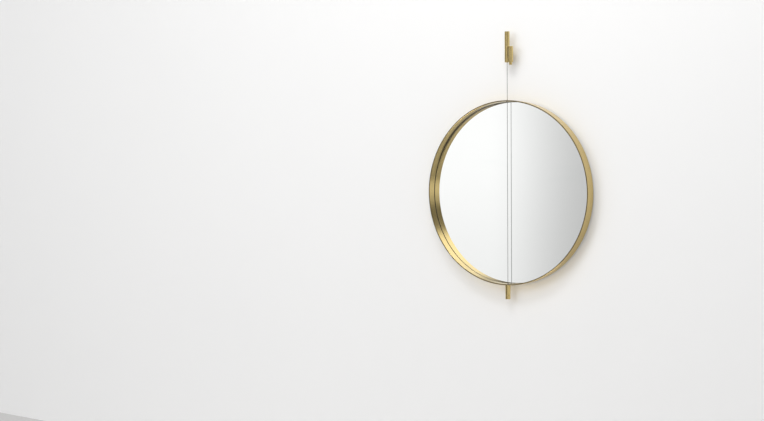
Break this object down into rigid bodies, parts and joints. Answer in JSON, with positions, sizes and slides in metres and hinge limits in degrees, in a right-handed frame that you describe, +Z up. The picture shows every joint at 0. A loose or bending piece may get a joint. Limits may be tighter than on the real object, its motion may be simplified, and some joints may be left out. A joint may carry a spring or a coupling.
{
  "type": "cable-hung round wall mirror",
  "caption": "Round wall mirror in a deep satin brass hoop, hung from a brass wall fitting on a thin steel cable that runs down in front of the glass to a small brass gripper bob.",
  "frame": {"origin": "on the wall plane, midway between the wall bracket's two screw holes", "axes": "+Z up, the mirror faces -Y, +Y points into the wall, +X to the right of someone facing the mirror"},
  "size_m": [0.7999, 0.057, 1.1612],
  "materials": {
    "satin_brass": "satin brushed, clear lacquered",
    "silvered_glass": "polished",
    "stranded_cable": "stranded wire",
    "stainless_steel": "turned",
    "zinc_plated_steel": "zinc plated",
    "spring_steel": "oiled, dark",
    "white_acetal": "machined",
    "black_foam": "matt",
    "grey_board": "matt laminate",
    "felt": "felt"
  },
  "bodies": {
    "wall_mount": {"wall_bracket": "satin_brass", "hook_barrel": "satin_brass"},
    "lock": {"lock_screw": "satin_brass"},
    "hanger": {"hanger_barrel": "satin_brass", "hanger_tongue": "zinc_plated_steel", "tongue_screws": "zinc_plated_steel", "seat_nose": "satin_brass"},
    "swivel": {"swivel_cup": "white_acetal"},
    "cable_line": {"cable": "stranded_cable", "cable_ball": "stainless_steel", "cable_end_stop": "stainless_steel"},
    "bob": {"bob_housing": "satin_brass", "grip_cone": "spring_steel", "housing_plug": "satin_brass", "thrust_washer": "white_acetal", "grip_spring": "spring_steel"},
    "release": {"release_knob": "satin_brass", "ball_cage": "stainless_steel", "grip_balls": "spring_steel", "knob_screw": "spring_steel"},
    "mirror": {"ring_frame": "satin_brass", "top_bush": "stainless_steel", "bottom_bush": "stainless_steel", "mirror_glass": "silvered_glass", "edge_gasket": "black_foam", "backing_board": "grey_board", "snap_ring": "spring_steel", "wall_bumpers": "felt"}
  },
  "joints": [
    {"name": "lift_off", "type": "slide", "parent": "wall_mount", "child": "hanger", "axis": [0, 0, 1], "range_m": [0, 0.047]},
    {"name": "lock_screw_out", "type": "slide", "parent": "wall_mount", "child": "lock", "axis": [0, 0, -1], "range_m": [0, 0.0095]},
    {"name": "swing_side", "type": "hinge", "parent": "hanger", "child": "swivel", "pos_m": [0, -0.033, -0.018], "axis": [0, 1, 0], "range_deg": [-12, 12]},
    {"name": "swing_out", "type": "hinge", "parent": "swivel", "child": "cable_line", "pos_m": [0, -0.033, -0.018], "axis": [-1, 0, 0], "range_deg": [0, 14]},
    {"name": "height_slide", "type": "slide", "parent": "cable_line", "child": "bob", "axis": [0, 0, 1], "range_m": [0, 0.07]},
    {"name": "release_pull", "type": "slide", "parent": "bob", "child": "release", "axis": [0, 0, -1], "range_m": [0, 0.003], "stiffness_N_per_m": 2500, "springref_m": -0.002, "deforming": ["grip_spring"]},
    {"name": "mirror_turn", "type": "hinge", "parent": "bob", "child": "mirror", "pos_m": [0, -0.033, -0.9965], "axis": [0, 0, 1], "range_deg": [-1.2, 1.2]}
  ]
}
